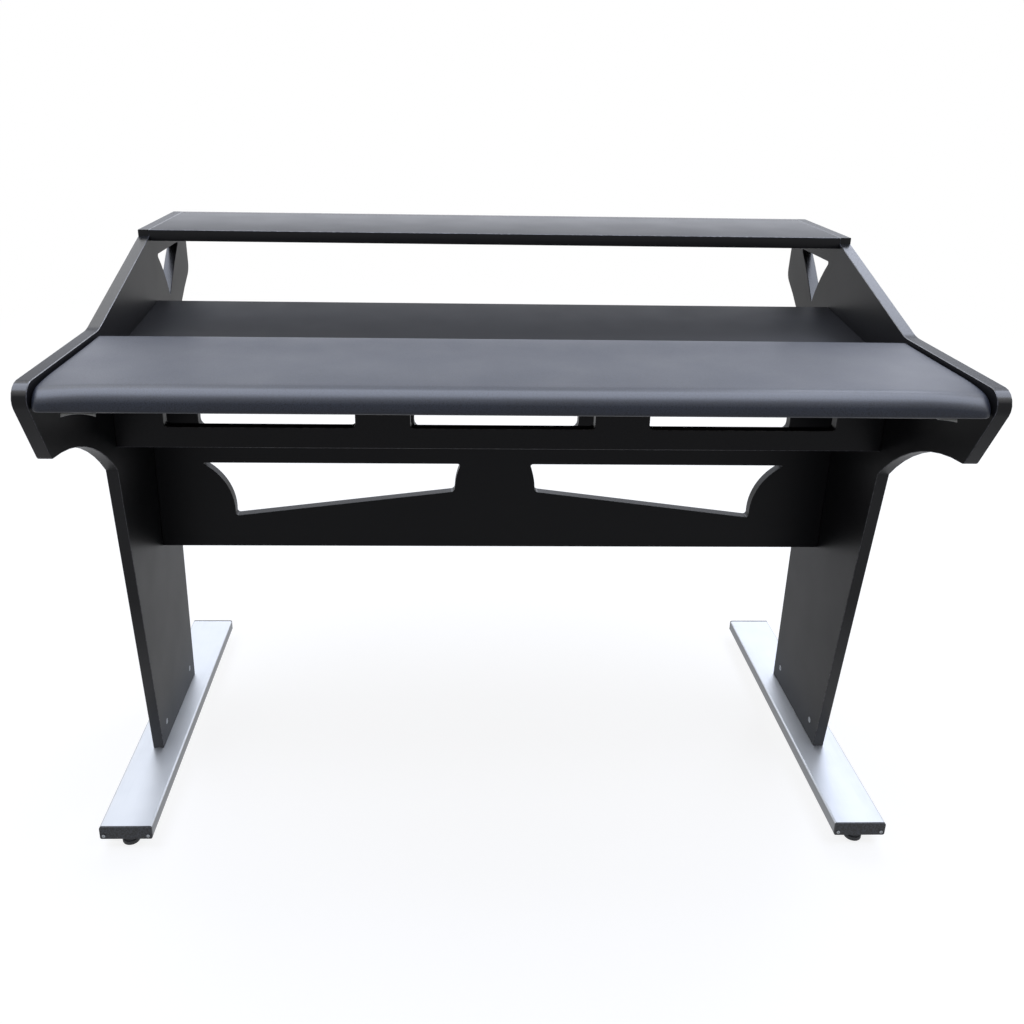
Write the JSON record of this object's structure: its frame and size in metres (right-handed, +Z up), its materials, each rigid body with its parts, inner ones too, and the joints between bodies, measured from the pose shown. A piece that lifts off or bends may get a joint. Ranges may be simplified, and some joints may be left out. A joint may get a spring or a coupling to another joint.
{
  "type": "studio desk",
  "caption": "Studio desk: sloping deck for gear, raised monitor shelf, padded armrest, cut-out side panels, slotted rail and rear panel, on aluminium foot rails with screw levellers.",
  "frame": {"origin": "on the floor, at the middle of the desk's bounding box, levellers screwed in", "axes": "+X to the right across the desk, +Y from the player to the back, +Z up"},
  "size_m": [1.222, 0.7558, 0.894],
  "materials": {
    "laminate": "satin",
    "leatherette": "satin",
    "raw_board": "matte",
    "black_steel": "satin",
    "anodised": "satin",
    "plastic": "matte",
    "zinc": "satin"
  },
  "bodies": {
    "desk": {"side_panel_left": "laminate", "side_panel_right": "laminate", "monitor_shelf": "laminate", "equipment_deck": "laminate", "cable_rail": "laminate", "rear_panel": "laminate", "armrest_cushion": "leatherette", "armrest_board": "raw_board", "armrest_bracket_left": "black_steel", "bracket_panel_screw_left": "zinc", "bracket_board_screw_left": "zinc", "foot_rail_left": "anodised", "monitor_shelf_connector_front_left": "zinc", "monitor_shelf_connector_rear_left": "zinc", "equipment_deck_connector_middle_left": "zinc", "cable_rail_connector_middle_left": "zinc", "rear_panel_connector_lower_left": "zinc", "rear_panel_connector_upper_left": "zinc", "end_cap_front_left": "plastic", "cap_screw_front_left_inner": "zinc", "cap_screw_front_left_outer": "zinc", "leveller_nut_plate_front_left": "zinc", "leg_bolt_front_left": "zinc", "cross_dowel_front_left": "zinc", "end_cap_rear_left": "plastic", "cap_screw_rear_left_inner": "zinc", "cap_screw_rear_left_outer": "zinc", "leveller_nut_plate_rear_left": "zinc", "leg_bolt_rear_left": "zinc", "cross_dowel_rear_left": "zinc", "armrest_bracket_right": "black_steel", "bracket_panel_screw_right": "zinc", "bracket_board_screw_right": "zinc", "foot_rail_right": "anodised", "monitor_shelf_connector_front_right": "zinc", "monitor_shelf_connector_rear_right": "zinc", "equipment_deck_connector_middle_right": "zinc", "cable_rail_connector_middle_right": "zinc", "rear_panel_connector_lower_right": "zinc", "rear_panel_connector_upper_right": "zinc", "end_cap_front_right": "plastic", "cap_screw_front_right_inner": "zinc", "cap_screw_front_right_outer": "zinc", "leveller_nut_plate_front_right": "zinc", "leg_bolt_front_right": "zinc", "cross_dowel_front_right": "zinc", "end_cap_rear_right": "plastic", "cap_screw_rear_right_inner": "zinc", "cap_screw_rear_right_outer": "zinc", "leveller_nut_plate_rear_right": "zinc", "leg_bolt_rear_right": "zinc", "cross_dowel_rear_right": "zinc"},
    "base_front_left": {"leveller_base_front_left": "plastic"},
    "stud_front_left": {"leveller_stud_front_left": "zinc"},
    "base_rear_left": {"leveller_base_rear_left": "plastic"},
    "stud_rear_left": {"leveller_stud_rear_left": "zinc"},
    "base_front_right": {"leveller_base_front_right": "plastic"},
    "stud_front_right": {"leveller_stud_front_right": "zinc"},
    "base_rear_right": {"leveller_base_rear_right": "plastic"},
    "stud_rear_right": {"leveller_stud_rear_right": "zinc"}
  },
  "joints": [
    {"name": "leveller_height_front_left", "type": "slide", "parent": "desk", "child": "base_front_left", "axis": [0, 0, -1], "range_m": [0, 0.01]},
    {"name": "leveller_screw_front_left", "type": "hinge", "parent": "base_front_left", "child": "stud_front_left", "pos_m": [-0.571, -0.20845, 0.02], "axis": [0, 0, -1], "range_deg": [0, 2880]},
    {"name": "leveller_height_rear_left", "type": "slide", "parent": "desk", "child": "base_rear_left", "axis": [0, 0, -1], "range_m": [0, 0.01]},
    {"name": "leveller_screw_rear_left", "type": "hinge", "parent": "base_rear_left", "child": "stud_rear_left", "pos_m": [-0.571, 0.35255, 0.02], "axis": [0, 0, -1], "range_deg": [0, 2880]},
    {"name": "leveller_height_front_right", "type": "slide", "parent": "desk", "child": "base_front_right", "axis": [0, 0, -1], "range_m": [0, 0.01]},
    {"name": "leveller_screw_front_right", "type": "hinge", "parent": "base_front_right", "child": "stud_front_right", "pos_m": [0.571, -0.20845, 0.02], "axis": [0, 0, -1], "range_deg": [0, 2880]},
    {"name": "leveller_height_rear_right", "type": "slide", "parent": "desk", "child": "base_rear_right", "axis": [0, 0, -1], "range_m": [0, 0.01]},
    {"name": "leveller_screw_rear_right", "type": "hinge", "parent": "base_rear_right", "child": "stud_rear_right", "pos_m": [0.571, 0.35255, 0.02], "axis": [0, 0, -1], "range_deg": [0, 2880]}
  ],
  "couplings": [
    {"joint": "leveller_screw_front_left", "follows": "leveller_height_front_left", "rad_per_m": 5026.5},
    {"joint": "leveller_screw_rear_left", "follows": "leveller_height_rear_left", "rad_per_m": 5026.5},
    {"joint": "leveller_screw_front_right", "follows": "leveller_height_front_right", "rad_per_m": 5026.5},
    {"joint": "leveller_screw_rear_right", "follows": "leveller_height_rear_right", "rad_per_m": 5026.5}
  ]
}
